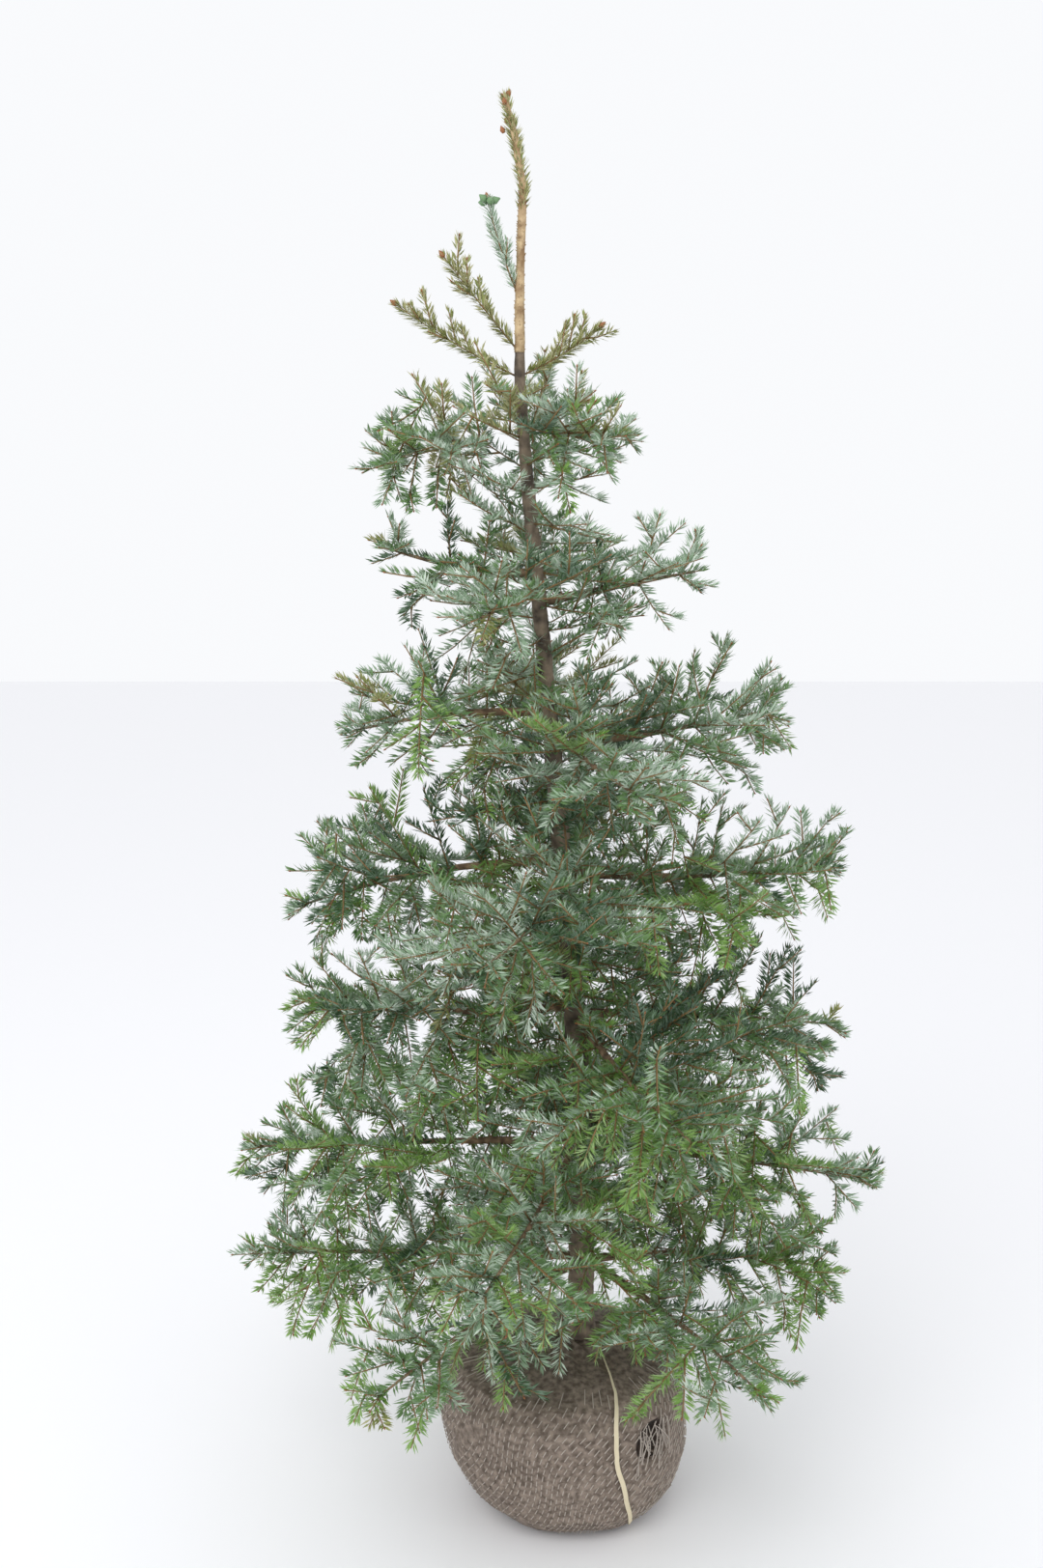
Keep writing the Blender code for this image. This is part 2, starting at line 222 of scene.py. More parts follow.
# Where the leader's buds point, and how far they are below its tip
LEADER_BUDS = ((0.3, 0.0), (2.4, 0.004), (4.4, 0.010), (1.2, 0.030), (3.6, 0.042))
LEADER_BUD_SPREAD = 0.5
LEADER_BUD_OFFSET = 0.004
ROUND_BUDS = 5
ROUND_BUDS_PLACE = 0.95
ROUND_BUD_OFFSET = 0.003
ROUND_BUD_RISE = 0.35
ROUND_BUD_WAVE = 0.3

# Root ball cloth
BALL_COLUMNS = 300
BALL_ROWS = 120
BALL_MIDDLE = np.array((0.0, 0.0, 0.11))
CREASES = 17
CREASE_TWIST = 26
CREASE_DEPTH = 0.0022
# How many lumps to a metre, and their height
LUMPS = ((16, 0.0030), (70, 0.0010))
TEAR_AZIMUTH = math.radians(-46)
TEAR_HEIGHT = 0.150
TEAR_SIZE = (0.17, 0.030)
TEAR_DEPTH = 0.016
TEAR_STEEPNESS = 2.5
TEAR_SOIL = 0.12

# Threads in the cloth, and loose ends at the tear
THREAD_ROWS = 104
THREAD_FOOT = 0.006
THREAD_TOP = 0.214
THREAD_DASH = 0.0075
THREAD_GAP = 0.0045
THREAD_GAP_SHARES = (0.7, 1.3)
THREAD_RADIUS = 0.0007
THREAD_SIDES = 4
THREAD_TWIST = 0.75
THREAD_WAVE = 0.10
THREAD_WAVE_RISE = 30
THREAD_WAVE_ROUND = 3
THREAD_LIFT = 0.0012
THREAD_TEAR_EDGE = 0.1
LOOSE_ENDS = 26
LOOSE_RISE = (0.4, 1.1)
LOOSE_SPREAD = 0.10
LOOSE_DROP = (0.02, 0.06)
LOOSE_LIFTS = (0.0010, 0.004)
LOOSE_SAG = 0.003
LOOSE_POINTS = 6

# String
STRING_POINTS = 26
STRING_INSET = 0.004
STRING_NEAR = 6
STRAND_OFFSETS = (-0.0022, -0.0007, 0.0008, 0.0023)
STRAND_LIFT = 0.0006
STRAND_RADIUS = 0.0011
STRAND_SIDES = 6

# Floor, light and camera
FLOOR_SIZE = 14
WORLD_COLOUR = (0.97, 0.98, 1.0, 1.0)
WORLD_STRENGTH = 0.98
LAMP_PLACE = (-1.0, -2.6, 3.4)
LAMP_TARGET = (0, 0, 0.9)
LAMP_SIZE = (2.6, 2.0)
LAMP_POWER = 55
CAMERA_PLACE = (-0.0547, -2.3150, 1.5317)
CAMERA_PITCH = 12.5316
CAMERA_LENS = 42.118
CAMERA_SENSOR = 36


# Materials


def linear(colour):
    """A shader colour from red, green and blue as seen on screen, 0 to 255."""
    seen = np.array(colour) / 255
    values = np.where(seen <= 0.04045, seen / 12.92, ((seen + 0.055) / 1.055) ** 2.4)
    return (*values, 1.0)


def plain(name, colour, roughness):
    """One even colour."""
    material = bpy.data.materials.new(name)
    material.use_nodes = True
    shader = material.node_tree.nodes["Principled BSDF"]
    shader.inputs["Base Color"].default_value = linear(colour)
    shader.inputs["Roughness"].default_value = roughness
    return material


def mottled(name, dark, light, scale, bump, roughness=0.85):
    """Two colours mixed by noise, with a fine bump."""
    material = plain(name, light, roughness)
    nodes, links = material.node_tree.nodes, material.node_tree.links
    place = nodes.new("ShaderNodeTexCoord")
    grain = nodes.new("ShaderNodeTexNoise")
    grain.inputs["Scale"].default_value = scale
    grain.inputs["Detail"].default_value = 6.0
    ramp = nodes.new("ShaderNodeValToRGB")
    ramp.color_ramp.elements[0].position = 0.35
    ramp.color_ramp.elements[0].color = linear(dark)
    ramp.color_ramp.elements[1].position = 0.65
    ramp.color_ramp.elements[1].color = linear(light)
    relief = nodes.new("ShaderNodeBump")
    relief.inputs["Distance"].default_value = bump
    relief.inputs["Strength"].default_value = 0.6
    shader = nodes["Principled BSDF"]
    links.new(place.outputs["Object"], grain.inputs["Vector"])
    links.new(grain.outputs["Fac"], ramp.inputs["Fac"])
    links.new(ramp.outputs["Color"], shader.inputs["Base Color"])
    links.new(grain.outputs["Fac"], relief.inputs["Height"])
    links.new(relief.outputs["Normal"], shader.inputs["Normal"])
    return material


# Meshes


def unit(vectors):
    """The vectors at length one."""
    return vectors / np.maximum(np.linalg.norm(vectors, axis=-1, keepdims=True), 1e-9)


def node_points(name):
    """The vertices of a solid of the frame."""
    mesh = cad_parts[name].data
    points = np.empty(len(mesh.vertices) * 3)
    mesh.vertices.foreach_get("co", points)
    return points.reshape(-1, 3)


def node_tree(name):
    """A solid of the frame, ready for rays."""
    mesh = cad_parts[name].data
    faces = [tuple(face.vertices) for face in mesh.polygons]
    return BVHTree.FromPolygons([vertex.co.copy() for vertex in mesh.vertices], faces)


def ray(tree, start, direction):
    """How far a ray goes before it meets the solid, or 0 if it misses. With no solid it is OPEN_REACH."""
    if tree is None:
        return OPEN_REACH
    distance = tree.ray_cast(Vector(start), Vector(direction))[3]
    return distance or 0.0


class Heap:
    """Triangles gathered from many small shapes, made into one mesh."""

    def __init__(self):
        self.points = []
        self.faces = []
        self.looks = []
        self.count = 0

    def add(self, points, faces, look=0):
        """Adds a shape. Its look is the place of its material in the list that build is given."""
        self.points.append(points)
        self.faces.append(faces + self.count)
        self.looks.append(np.broadcast_to(look, len(faces)))
        self.count += len(points)

    def build(self, name, materials, slot, nodes, smooth=False):
        """Makes the mesh, which stands for the named solids of the frame."""
        points = np.concatenate(self.points)
        faces = np.concatenate(self.faces).astype(np.int32)
        mesh = bpy.data.meshes.new(name)
        mesh.vertices.add(len(points))
        mesh.vertices.foreach_set("co", points.ravel())
        mesh.loops.add(faces.size)
        mesh.loops.foreach_set("vertex_index", faces.ravel())
        mesh.polygons.add(len(faces))
        mesh.polygons.foreach_set("loop_start", np.arange(0, faces.size, 3, dtype=np.int32))
        for material in materials:
            mesh.materials.append(material)
        mesh.polygons.foreach_set("material_index", np.concatenate(self.looks).astype(np.int32))
        mesh.polygons.foreach_set("use_smooth", np.full(len(faces), smooth))
        mesh.update(calc_edges=True)
        obj = bpy.data.objects.new(name, mesh)
        bpy.context.scene.collection.objects.link(obj)
        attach(obj, "root")
        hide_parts(*nodes)


def grid_corners(rows, columns):
    """The four corners of each cell of a grid whose last column joins its first."""
    row, column = np.meshgrid(np.arange(rows - 1), np.arange(columns), indexing="ij")
    near, near_next = row * columns + column, row * columns + (column + 1) % columns
    return near, near_next, near + columns, near_next + columns


def triangles(*corners):
    """Triangles from three arrays of corners."""
    return np.stack(corners, -1).reshape(-1, 3)


def tube(line, radii, sides):
    """Points and triangles of a closed tube round a line. Radii are per point, or per point and side."""
    along = unit(np.gradient(line, axis=0))
    chord = unit(line[-1] - line[0])
    reference = np.eye(3)[np.argmin(np.abs(chord))]
    side = unit(np.cross(along, reference))
    over = np.cross(side, along)
    angles = FULL_TURN * np.arange(sides) / sides
    spokes = np.cos(angles)[None, :, None] * side[:, None] + np.sin(angles)[None, :, None] * over[:, None]
    radii = np.asarray(radii)
    if radii.ndim == 1:
        radii = radii[:, None]
    rings = line[:, None] + radii[:, :, None] * spokes
    points = np.concatenate((rings.reshape(-1, 3), line[:1], line[-1:]))

    count = len(line)
    near, near_next, far, far_next = grid_corners(count, sides)
    ring = np.arange(sides)
    following = (ring + 1) % sides
    foot, top = count * sides, count * sides + 1
    last = (count - 1) * sides
    faces = (
        triangles(near, far, near_next),
        triangles(near_next, far, far_next),
        triangles(np.full(sides, foot), ring, following),
        triangles(np.full(sides, top), last + following, last + ring),
    )
    return points, np.concatenate(faces)


# The trunk and the limbs, read from the frame

TRUNK_TREE = node_tree("trunk")
BALL_TREE = node_tree("root_ball")


def trunk_at(height):
    """The trunk's middle and radius at a height."""
    height = min(max(height, TRUNK_FOOT + RAY_INSET), TRUNK_TOP - 2 * RAY_INSET)
    left = ray(TRUNK_TREE, (-1, 0, height), (1, 0, 0)) - 1
    right = 1 - ray(TRUNK_TREE, (1, 0, height), (-1, 0, 0))
    return np.array(((left + right) / 2, 0.0, height)), max((right - left) / 2, LEAST_TRUNK_RADIUS)


class Limb:
    """A limb's middle line from the trunk to its tip, with one bend."""

    def __init__(self, root, body):
        outward = unit(body.mean(axis=0) - root)
        ahead = (body - root) @ outward
        self.root = root
        self.tip = body[np.argmax(ahead)]
        chord = self.tip - root
        self.length = float(np.linalg.norm(chord))
        bends = []
        for place in SLICE_PLACES:
            near = np.abs(ahead / ahead.max() - place) < SLICE_HALF_WIDTH
            if near.any():
                middle = (body[near].max(axis=0) + body[near].min(axis=0)) / 2
                bends.append((middle - root - chord * place) / (4 * place * (1 - place)))
        self.bend = BEND_SHARE * np.mean(bends, axis=0)

    def at(self, place):
        return self.root + (self.tip - self.root) * place + self.bend * 4 * place * (1 - place)

    def frame(self, place):
        """The directions along the limb, to its side and over it."""
        along = unit(self.at(place + TANGENT_STEP) - self.at(place - TANGENT_STEP))
        side = unit(np.cross(along, UP))
        return along, side, np.cross(side, along)

    def line(self, first, last, count):
        return np.array([self.at(place) for place in np.linspace(first, last, count)])


def trunk_root(points):
    """The end of a limb that lies nearest the trunk."""
    gaps = [np.linalg.norm(point - trunk_at(point[2])[0]) for point in points]
    near = points[np.argsort(gaps)[: max(LEAST_ROOT_POINTS, len(points) // ROOT_PART)]]
    return near.mean(axis=0)


def shoot_limb(name):
    """The line of a solid that has no bough of its own."""
    body = node_points(name)
    return Limb(trunk_root(body), body)


def zone(zones, height):
    """The value of the zone that a height falls in."""
    return next(value for lowest, value in zones if height >= lowest or lowest == 0)


# Shoots


class Shoot:
    """A twig that bears needles: its line, their colours and stand, and the piece that they go to."""

    def __init__(self, line, palette, flat, piece, weight=1.0, lean=LEAN, needle=1.0):
        self.line = line
        self.palette = palette
        self.flat = flat
        self.piece = piece
        self.weight = weight
        self.lean = lean
        self.needle = needle
        self.length = float(np.linalg.norm(np.diff(line, axis=0), axis=1).sum())


def sprout(rng, start, direction, length, lift):
    """A shoot's line, which turns up or down towards its tip and wanders a little."""
    count = max(LEAST_SEGMENTS, int(length / SEGMENT) + 2)
    place = np.linspace(0, 1, count)[:, None]
    wander = rng.normal(0, WANDER, 3) * length
    line = start + direction * length * place + UP * lift * length * place**2
    return line + wander * place * (1 - place) * 2


def turned(along, side, over, angle, roll):
    """A direction at an angle to one, rolled round it from its side."""
    sideways = side * math.cos(roll) + over * math.sin(roll)
    return unit(along * math.cos(angle) + sideways * math.sin(angle))


def pick_palette(rng, height):
    return PALETTE_NAMES[rng.choice(len(PALETTE_NAMES), p=zone(PALETTE_ZONES, height))]


def side_shoots(rng, tree, parent, spacing, level, shoots):
    """Second and third shoots, left and right in turn along their parent."""
    line = parent.line
    count = int(parent.length * SIDE_SPAN / spacing)
    for step in range(count):
        place = SIDE_FIRST_PLACE + SIDE_SPAN * (step + rng.uniform(*PLACE_JITTER)) / count
        index = place * (len(line) - 1)
        low = int(index)
        start = line[low] + (line[low + 1] - line[low]) * (index - low)
        along = unit(line[low + 1] - line[low])
        side = unit(np.cross(along, UP) + 1e-6)
        sign = 1 if step % 2 else -1
        roll = rng.normal(0, SIDE_ROLL_SPREAD)
        angle = math.radians(rng.uniform(*SIDE_ANGLE))
        direction = turned(along, side * sign, np.cross(side, along), angle, roll)
        hanging = level == 2 and rng.random() < zone(HANGING_ZONES, start[2])
        natural = SIDE_LENGTH_SHARE * (1 - place) * parent.length + rng.uniform(*SIDE_EXTRA_LENGTH)
        palette = parent.palette if rng.random() < SAME_PALETTE_SHARE else "mid"
        lift = rng.uniform(*SIDE_LIFT)
        if hanging:
            direction = unit(direction * HANGING_KEEP - UP * rng.uniform(*HANGING_DROP))
            natural = rng.uniform(*HANGING_LENGTH)
            palette = "fresh" if rng.random() < HANGING_FRESH_SHARE else palette
            lift = HANGING_LIFT
        reach = ray(tree, start, direction) - SURFACE_MARGIN + rng.uniform(0, SIDE_OVERSHOOT)
        length = min(natural, reach, SIDE_LONGEST)
        if length < SIDE_SHORTEST:
            continue
        path = sprout(rng, start, direction, length, lift)
        shoot = Shoot(path, palette, not hanging, parent.piece, parent.weight)
        shoots.append(shoot)
        if level == 2 and length > BRANCHING_LENGTH:
            side_shoots(rng, tree, shoot, THIRD_SPACING, 3, shoots)


def first_shoots(rng, tree, limb, first, spacing, shoots, piece):
    """The shoots along a bough: pairs to the sides, and others up and down."""
    count = max(3, int(limb.length * (1 - first) / spacing))
    for step in range(count):
        place = first + (FIRST_LAST_PLACE - first) * (step + rng.uniform(*PLACE_JITTER)) / count
        start = limb.at(place)
        along, side, over = limb.frame(place)
        rolls = [rng.uniform(*SIDE_ROLLS), math.pi - rng.uniform(*SIDE_ROLLS)]
        rolls += [rng.uniform(*UPRIGHT_ROLLS), -rng.uniform(*UPRIGHT_ROLLS)]
        for roll in rolls:
            spread = rng.uniform(-FIRST_ANGLE_SPREAD, FIRST_ANGLE_SPREAD)
            angle = math.radians(FIRST_ANGLE_AT_ROOT - FIRST_ANGLE_FALL * place + spread)
            direction = turned(along, side, over, angle, roll)
            length = min(ray(tree, start, direction) - SURFACE_MARGIN, FIRST_LONGEST)
            if length < FIRST_SHORTEST:
                continue
            length *= rng.uniform(*FIRST_LENGTH_SHARE)
            path = sprout(rng, start, direction, length, rng.uniform(*FIRST_LIFT))
            shoot = Shoot(path, pick_palette(rng, start[2]), True, piece, FIRST_WEIGHT)
            shoots.append(shoot)
            side_shoots(rng, tree, shoot, SECOND_SPACING, 2, shoots)


def grow_mass(rng, node, limb, first, spacing, shoots):
    """All the shoots of one foliage mass, on the limb that bears it."""
    palette = pick_palette(rng, limb.root[2])
    begin, end = LEADING_SHOOT
    shoots.append(Shoot(limb.line(max(first, begin), end, LEADING_POINTS), palette, True, node))
    first_shoots(rng, node_tree(node), limb, first, spacing, shoots, node)


def grow_inner(rng, shoots):
    """Short shoots from the trunk between the whorls, which close the crown round it."""
    for step in range(INNER_SHOOTS):
        height = INNER_FOOT + (INNER_TOP - INNER_FOOT) * (step + rng.uniform(0, 1)) / INNER_SHOOTS
        turn = step * INNER_TURN + rng.uniform(-INNER_TURN_SPREAD, INNER_TURN_SPREAD)
        outward = unit(np.array((math.cos(turn), math.sin(turn), rng.uniform(*INNER_RISE))))
        longest = INNER_TOP_LENGTH + INNER_GROWTH * (INNER_TOP - height)
        length = rng.uniform(*INNER_LENGTH_SHARE) * longest
        path = sprout(rng, trunk_at(height)[0], outward, length, rng.uniform(*INNER_LIFT))
        shoot = Shoot(path, pick_palette(rng, height), True, "inner", INNER_WEIGHT)
        shoots.append(shoot)
        side_shoots(rng, None, shoot, SECOND_SPACING, 2, shoots)


# Needles, buds and twigs


def dress(rng, shoot, density, heap):
    """The needles of one shoot. Flat shoots part them to both sides, the others stand all round."""
    count = int(shoot.length * density * shoot.weight)
    if count < LEAST_NEEDLES:
        return
    line = shoot.line
    place = np.sort(rng.uniform(NEEDLE_FIRST_PLACE, 1.0, count))
    index = place * (len(line) - 1)
    low = np.minimum(index.astype(int), len(line) - 2)
    base = line[low] + (line[low + 1] - line[low]) * (index - low)[:, None]
    along = unit(line[low + 1] - line[low])
    steep = abs(unit(line[-1] - line[0])[2]) >= STEEP
    side = unit(np.cross(along, np.array((1.0, 0.0, 0.0)) if steep else UP))
    over = np.cross(side, along)
    if shoot.flat:
        roll = rng.uniform(*FLAT_ROLLS, count)
        roll = np.where(rng.random(count) < 0.5, roll, math.pi - roll)
    else:
        roll = rng.uniform(0, FULL_TURN, count)
    sideways = side * np.cos(roll)[:, None] + over * np.sin(roll)[:, None]

    from_tip = (1 - place) * shoot.length
    opened = TIP_LEAN_SHARE + (1 - TIP_LEAN_SHARE) * np.clip(from_tip / TIP_LEAN_LENGTH, 0, 1)
    lean = np.radians(shoot.lean * opened + rng.normal(0, LEAN_SPREAD, count))
    ahead = unit(along * np.cos(lean)[:, None] + sideways * np.sin(lean)[:, None] + UP * NEEDLE_LIFT)
    size = NEEDLE_LENGTH * shoot.needle * rng.uniform(*NEEDLE_SIZES, count)
    size *= TIP_SIZE_SHARE + (1 - TIP_SIZE_SHARE) * np.clip(from_tip / TIP_SIZE_LENGTH, 0, 1)

    face = over * np.abs(np.cos(roll))[:, None] + along * np.abs(np.sin(roll))[:, None]
    face = face + rng.normal(0, FACE_SPREAD, (count, 3))
    face[rng.random(count) < TURNED_SHARE] *= -1
    across = unit(np.cross(face, ahead))
    face = np.cross(ahead, across)
    base = base + sideways * TWIG_TIP_RADIUS
    middle = base + ahead * (NEEDLE_WIDEST * size)[:, None] + face * NEEDLE_RAISE
    half = across * (NEEDLE_WIDTH / 2)
    points = np.stack((base, base + ahead * size[:, None], middle + half, middle - half), 1)
    faces = (4 * np.arange(count)[:, None, None] + NEEDLE_CORNERS).reshape(-1, 3)
    look = 2 * PALETTE_NAMES.index(shoot.palette)
    heap.add(points.reshape(-1, 3), faces, np.tile((look, look, look + 1, look + 1), count))


def bud(heap, place, direction, size, look=0):
    """A pointed bud."""
    length, radius = size
    line = place + direction * length * BUD_STEPS[:, None]
    heap.add(*tube(line, radius * BUD_SHAPE, 6 if radius > BIG_BUD_RADIUS else 3), look)


def twig(heap, shoot):
    """A shoot's wood."""
    count = len(shoot.line)
    kept = np.linspace(0, count - 1, TWIG_LEAST_RINGS + count // TWIG_POINTS_PER_RING).astype(int)
    radii = np.linspace(TWIG_ROOT_RADIUS, TWIG_TIP_RADIUS, len(kept))
    heap.add(*tube(shoot.line[kept], radii, TWIG_SIDES))


# Bark


def bark_tube(heap, line, radii, sides, depth, seed, look=0):
    """A limb with a rough surface."""
    angles = FULL_TURN * np.arange(sides) / sides
    rough = np.empty((len(line), sides))
    for row, point in enumerate(line):
        for column, angle in enumerate(angles):
            around = (math.cos(angle) * GRAIN_ROUND + seed, math.sin(angle) * GRAIN_ROUND)
            spot = Vector((*around, point.sum() * GRAIN_ALONG))
            rough[row, column] = noise.noise(spot) + 0.5 * noise.noise(spot * FINE_GRAIN)
    radii = np.asarray(radii)[:, None] * (1 + depth * rough)
    heap.add(*tube(line, radii, sides), look)


def make_trunk():
    """Bark from the ball to the leader's tip, and the pegs that fallen needles leave on the leader."""
    heap = Heap()
    heights = np.arange(TRUNK_FOOT, TRUNK_TOP, BARK_STEP)
    measured = [trunk_at(height) for height in heights]
    line = np.array([middle for middle, _ in measured])
    line[:, 2] = heights
    radii = np.array([radius for _, radius in measured])
    lower = heights < LEADER_FOOT + BARK_STEP
    bark_tube(heap, line[lower], radii[lower], BARK_SIDES, BARK_DEPTH, 0.0, 0)
    upper = heights >= LEADER_FOOT
    bark_tube(heap, line[upper], radii[upper], BARK_SIDES, LEADER_BARK_DEPTH, LEADER_BARK_SEED, 1)
    rng = np.random.default_rng(SEED + 1)
    for height in rng.uniform(LEADER_FOOT, LEADER_NEEDLES + PEG_TOP_OVERLAP, PEG_COUNT):
        middle, radius = trunk_at(height)
        turn = rng.uniform(0, FULL_TURN)
        outward = np.array((math.cos(turn), math.sin(turn), PEG_RISE))
        bud(heap, middle + outward * (1, 1, 0) * PEG_SPOT * radius, unit(outward), PEG, 1)
    bark = mottled("bark", (74, 64, 56), (142, 126, 108), 55, 0.002)
    pale = mottled("leader_bark", (140, 112, 80), (204, 180, 142), 70, 0.001)
    heap.build("bark_trunk", [bark, pale], "bark", ["trunk"], smooth=True)


def make_boughs(limbs):
    """The boughs, each from the trunk to where it thins into its last shoot."""
    heap = Heap()
    for number, limb in enumerate(limbs):
        count = int(limb.length / BOUGH_STEP)
        line = limb.line(0.0, BOUGH_END, count)
        radii = np.linspace(*BOUGH_RADII, count)
        bark_tube(heap, line, radii, BOUGH_SIDES, BOUGH_BARK_DEPTH, float(number))
    bark = mottled("bough_bark", (88, 70, 54), (150, 124, 96), 90, 0.001)
    heap.build("bark_boughs", [bark], "bark", [f"bough_{mass}" for mass in MASSES], smooth=True)


# The crown


def grow_leader(shoots, buds):
    """The leader's own needles and the buds at its tip."""
    heights = np.linspace(LEADER_NEEDLES, TRUNK_TOP - LEADER_INSET, LEADER_POINTS)
    line = np.array([trunk_at(height)[0] for height in heights])
    shoots.append(Shoot(line, "olive", False, BLUE_SHOOT, **LEADER_STYLE))
    for turn, drop in LEADER_BUDS:
        outward = np.array((math.cos(turn) * LEADER_BUD_SPREAD, math.sin(turn) * LEADER_BUD_SPREAD, 1.0))
        place = line[-1] - UP * drop + outward * (1, 1, 0) * LEADER_BUD_OFFSET
        bud(buds, place, unit(outward), LEADER_BUD)


def grow_leader_shoots(rng, shoots, buds):
    """The four upright shoots below the leader, and the round buds on the bluest."""
    for name in LEADER_SHOOTS:
        limb = shoot_limb(name)
        palette = "silver" if name == BLUE_SHOOT else "olive"
        shoots.append(Shoot(limb.line(0.0, SHOOT_END, SHOOT_POINTS), palette, False, name, **SHOOT_STYLE))
        bud(buds, limb.at(SHOOT_END), limb.frame(SHOOT_END)[0], SHOOT_BUD)
        for step in range(BLUE_TWIGLETS if name == BLUE_SHOOT else TWIGLETS):
            place = TWIGLET_FIRST_PLACE + TWIGLET_SPACING * step + rng.uniform(0, TWIGLET_JITTER)
            turn = rng.uniform(0, FULL_TURN)
            along, side, over = limb.frame(place)
            outward = unit(along + side * math.cos(turn) + over * math.sin(turn))
            path = sprout(rng, limb.at(place), outward, rng.uniform(*TWIGLET_LENGTH), TWIGLET_LIFT)
            shoots.append(Shoot(path, palette, False, name, **TWIGLET_STYLE))
    top = shoot_limb(BLUE_SHOOT)
    for turn in FULL_TURN * np.arange(ROUND_BUDS) / ROUND_BUDS:
        rise = ROUND_BUD_RISE + ROUND_BUD_WAVE * math.sin(2 * turn)
        outward = np.array((math.cos(turn), math.sin(turn), rise))
        bud(buds, top.at(ROUND_BUDS_PLACE) + outward * ROUND_BUD_OFFSET, unit(outward), ROUND_BUD, 1)


def make_crown():
    """Every shoot, then its needles, its twig and its bud."""
    rng = np.random.default_rng(SEED)
    shoots = []
    buds = Heap()
    grow_leader(shoots, buds)
    grow_leader_shoots(rng, shoots, buds)
    for name in TOP_SPRAYS:
        grow_mass(rng, name, shoot_limb(name), SPRAY_START, SPRAY_SPACING, shoots)
    limbs = []
    for mass in MASSES:
        limb = Limb(trunk_root(node_points(f"bough_{mass}")), node_points(f"needles_{mass}"))
        limbs.append(limb)
        grow_mass(rng, f"needles_{mass}", limb, MASS_START, FIRST_SPACING, shoots)
    grow_inner(rng, shoots)
    make_boughs(limbs)

    density = NEEDLE_TOTAL / sum(shoot.length * shoot.weight for shoot in shoots)
    heaps = {}
    twigs = Heap()
    for shoot in shoots:
        dress(rng, shoot, density, heaps.setdefault(shoot.piece, Heap()))
        twig(twigs, shoot)
        bud(buds, shoot.line[-1], unit(shoot.line[-1] - shoot.line[-2]), TIP_BUD)
    materials = []
    for name, (upper, under) in PALETTES.items():
        materials += [plain(f"needle_{name}", upper, 0.5), plain(f"needle_{name}_under", under, 0.55)]
    for piece, heap in heaps.items():
        heap.build(f"foliage_{piece}", materials, "needles", CROWN if piece == "inner" else [piece])
    twigs.build("twigs", [plain("twig", (138, 108, 68), 0.7)], "bark", CROWN, smooth=True)
    looks = [plain("bud", (150, 96, 58), 0.6), plain("bud_fresh", (112, 146, 104), 0.6)]
    buds.build("buds", looks, "needles", CROWN, smooth=True)


# The root ball


def centred(turn):
    """The same azimuth, from minus half a turn to half a turn."""
    return (turn + math.pi) % FULL_TURN - math.pi


def ball_spot(azimuth, height, lift):
    """A point on the ball's side, lifted off it."""
    outward = np.array((math.cos(azimuth), math.sin(azimuth), 0.0))
    far = np.array((0.0, 0.0, height)) + outward * 0.5
    distance = ray(BALL_TREE, far, -outward)
    return far - outward * (distance - lift)


def tear(azimuth, height):
    """How deep a spot lies in the torn hole: 0 outside, 1 at its middle."""
    across = (azimuth - TEAR_AZIMUTH) / TEAR_SIZE[0]
    rise = (height - TEAR_HEIGHT) / TEAR_SIZE[1]
    return max(0.0, 1 - across**2 - rise**2)


def cloth_point(elevation, turn):
    """A point of the cloth, and whether bare soil shows there."""
    flat = math.cos(elevation)
    outward = np.array((flat * math.cos(turn), flat * math.sin(turn), math.sin(elevation)))
    point = BALL_MIDDLE + outward * ray(BALL_TREE, BALL_MIDDLE, outward)
    spot = Vector(point)
    upper = max(0.0, math.sin(elevation))
    relief = CREASE_DEPTH * math.sin(turn * CREASES + point[2] * CREASE_TWIST) * upper**2
    relief += sum(height * noise.noise(spot * per_metre) for per_metre, height in LUMPS)
    hole = tear(centred(turn), point[2])
    point = point + outward * (relief - TEAR_DEPTH * min(1.0, hole * TEAR_STEEPNESS))
    point[2] = max(point[2], 0.0)
    return point, hole > TEAR_SOIL


def make_ball():
    """The cloth over the roots: lumpy, creased towards the neck, and torn at the right."""
    cells = [
        cloth_point(elevation, turn)
        for elevation in np.linspace(-math.pi / 2, math.pi / 2, BALL_ROWS + 1)
        for turn in FULL_TURN * np.arange(BALL_COLUMNS) / BALL_COLUMNS
    ]
    near, near_next, far, far_next = grid_corners(BALL_ROWS + 1, BALL_COLUMNS)
    faces = np.concatenate((triangles(near, near_next, far), triangles(near_next, far_next, far)))
    torn = np.array([bare for _, bare in cells])
    heap = Heap()
    heap.add(np.array([point for point, _ in cells]), faces, torn[faces[:, 0]].astype(int))
    cloth = mottled("hessian", (92, 80, 70), (146, 132, 120), 130, 0.0015)
    soil = mottled("soil", (30, 24, 20), (66, 52, 42), 90, 0.003)
    heap.build("root_ball_cloth", [cloth, soil], "hessian", ["root_ball"], smooth=True)


def thread_end(start, rise):
    """A point on a thread at a height, or None in the torn hole."""
    wave = THREAD_WAVE * math.sin(rise * THREAD_WAVE_RISE + start * THREAD_WAVE_ROUND)
    azimuth = centred(start + THREAD_TWIST * (rise / THREAD_TOP) + wave)
    return ball_spot(azimuth, rise, THREAD_LIFT) if tear(azimuth, rise) < THREAD_TEAR_EDGE else None


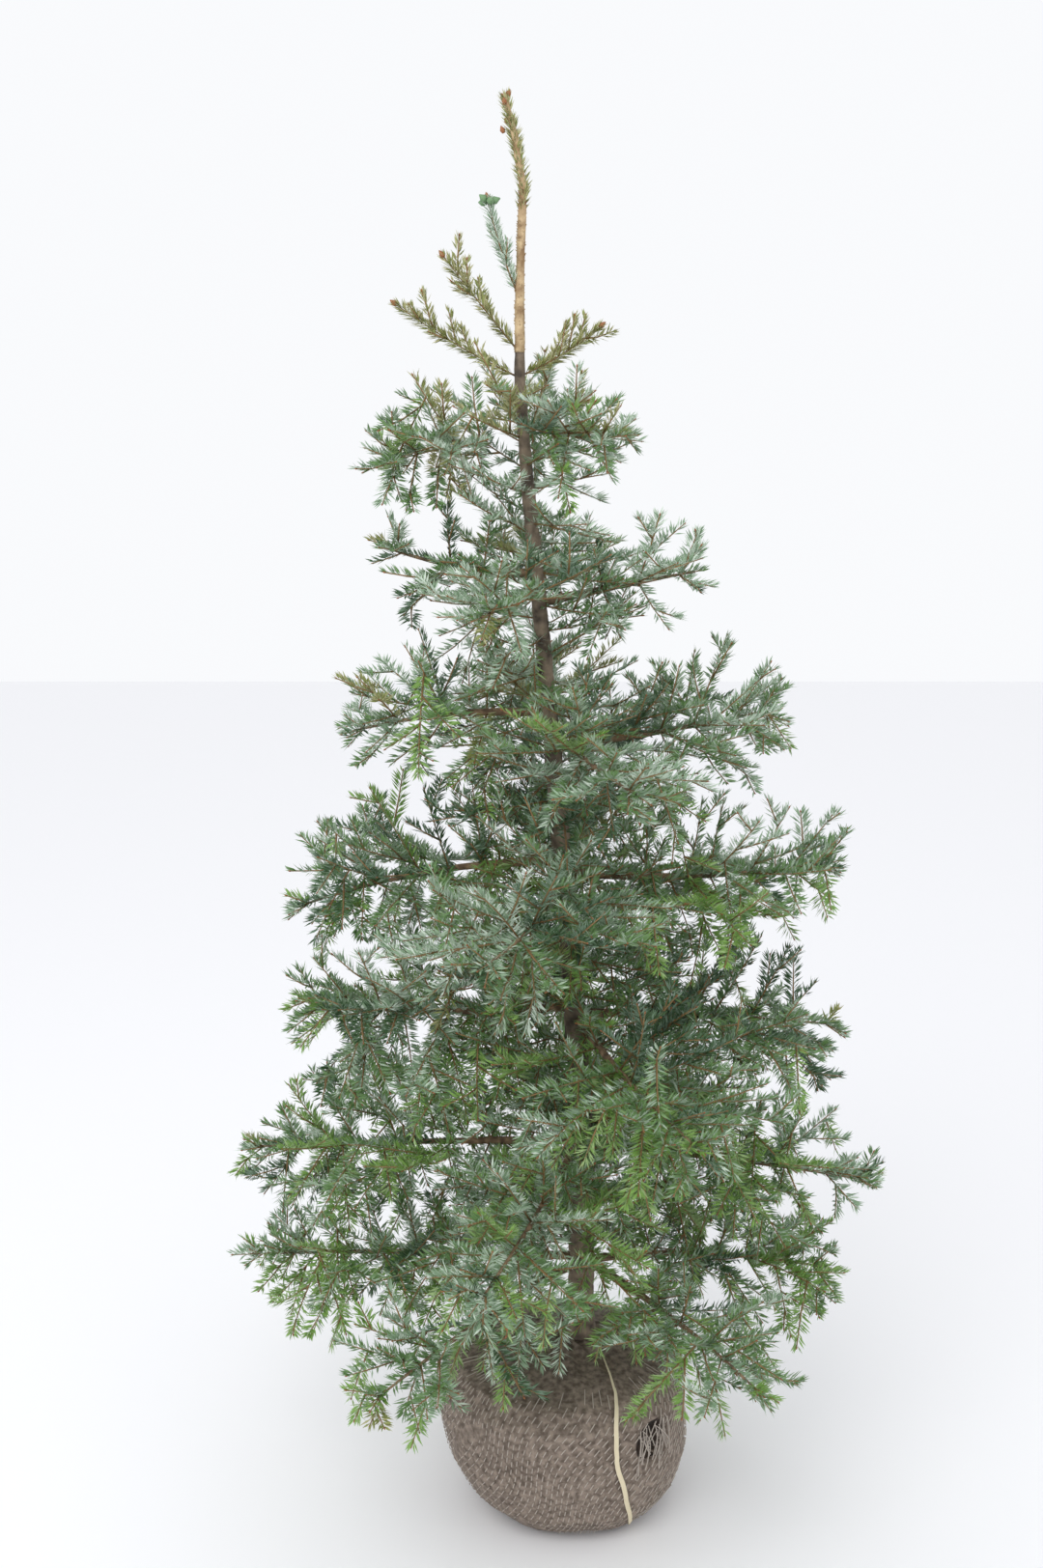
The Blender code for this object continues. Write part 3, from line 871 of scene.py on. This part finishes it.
def make_threads():
    """Dashed threads that climb round the ball to its neck, and loose ends at the tear."""
    heap = Heap()
    rng = np.random.default_rng(SEED + 2)
    for row in range(THREAD_ROWS):
        start = FULL_TURN * row / THREAD_ROWS
        height = THREAD_FOOT + rng.uniform(0, THREAD_DASH)
        while height < THREAD_TOP:
            ends = [thread_end(start, rise) for rise in (height, height + THREAD_DASH)]
            if all(end is not None for end in ends):
                heap.add(*tube(np.linspace(*ends, 3), np.full(3, THREAD_RADIUS), THREAD_SIDES))
            height += THREAD_DASH + THREAD_GAP * rng.uniform(*THREAD_GAP_SHARES)
    for _ in range(LOOSE_ENDS):
        azimuth = TEAR_AZIMUTH + rng.uniform(-1, 1) * TEAR_SIZE[0]
        height = TEAR_HEIGHT + rng.uniform(*LOOSE_RISE) * TEAR_SIZE[1]
        start = ball_spot(azimuth, height, LOOSE_LIFTS[0])
        swing = rng.normal(0, LOOSE_SPREAD)
        end = ball_spot(azimuth + swing, height - rng.uniform(*LOOSE_DROP), LOOSE_LIFTS[1])
        place = np.linspace(0, 1, LOOSE_POINTS)[:, None]
        line = start + (end - start) * place + rng.normal(0, LOOSE_SAG, 3) * 4 * place * (1 - place)
        heap.add(*tube(line, np.full(LOOSE_POINTS, THREAD_RADIUS), THREAD_SIDES))
    heap.build("ball_threads", [plain("thread", (176, 166, 156), 0.8)], "hessian", ["root_ball"])


def make_string():
    """The flat pale string from the neck down over the ball, as strands side by side."""
    body = node_points("tie_string")
    heights = body[:, 2]
    line = []
    for level in np.linspace(heights.max() - STRING_INSET, heights.min() + STRING_INSET, STRING_POINTS):
        near = np.argsort(np.abs(heights - level))[:STRING_NEAR]
        line.append(body[near].mean(axis=0))
    line = np.array(line)
    line[1:-1] = (line[:-2] + line[1:-1] + line[2:]) / 3
    outward = unit(line * (1, 1, 0))
    across = unit(np.cross(unit(np.gradient(line, axis=0)), outward))
    heap = Heap()
    for offset in STRAND_OFFSETS:
        strand = line + across * offset + outward * STRAND_LIFT
        heap.add(*tube(strand, np.full(STRING_POINTS, STRAND_RADIUS), STRAND_SIDES))
    pale = plain("string", (226, 214, 184), 0.8)
    heap.build("string_strands", [pale], "string", ["tie_string"], smooth=True)


# Floor, light and camera


def make_floor():
    """A plain pale floor, which is not part of the plant."""
    bpy.ops.mesh.primitive_plane_add(size=FLOOR_SIZE, location=(0, 0, 0))
    floor = bpy.context.object
    floor.name = "floor"
    floor.data.materials.append(plain("floor", (246, 246, 248), 0.7))


def make_light(scene):
    """A pale sky all round, and one large soft lamp from the upper left."""
    scene.world = scene.world or bpy.data.worlds.new("studio")
    scene.world.use_nodes = True
    sky = scene.world.node_tree.nodes["Background"]
    sky.inputs["Color"].default_value = WORLD_COLOUR
    sky.inputs["Strength"].default_value = WORLD_STRENGTH
    lamp = bpy.data.lights.new("softbox", "AREA")
    lamp.shape = "RECTANGLE"
    lamp.size, lamp.size_y = LAMP_SIZE
    lamp.energy = LAMP_POWER
    light = bpy.data.objects.new("softbox", lamp)
    light.location = LAMP_PLACE
    light.rotation_euler = (Vector(LAMP_TARGET) - light.location).to_track_quat("-Z", "Y").to_euler()
    scene.collection.objects.link(light)


def make_camera(scene):
    """The photograph's view."""
    camera = bpy.data.objects.new("camera", bpy.data.cameras.new("camera"))
    camera.location = CAMERA_PLACE
    camera.rotation_euler = (math.radians(90 - CAMERA_PITCH), 0, 0)
    camera.data.lens = CAMERA_LENS
    camera.data.sensor_width = CAMERA_SENSOR
    camera.data.dof.use_dof = False
    scene.collection.objects.link(camera)
    scene.camera = camera
    scene.view_settings.view_transform = "Standard"
    scene.view_settings.look = "None"


make_trunk()
make_crown()
make_ball()
make_threads()
make_string()
make_floor()
make_light(bpy.context.scene)
make_camera(bpy.context.scene)
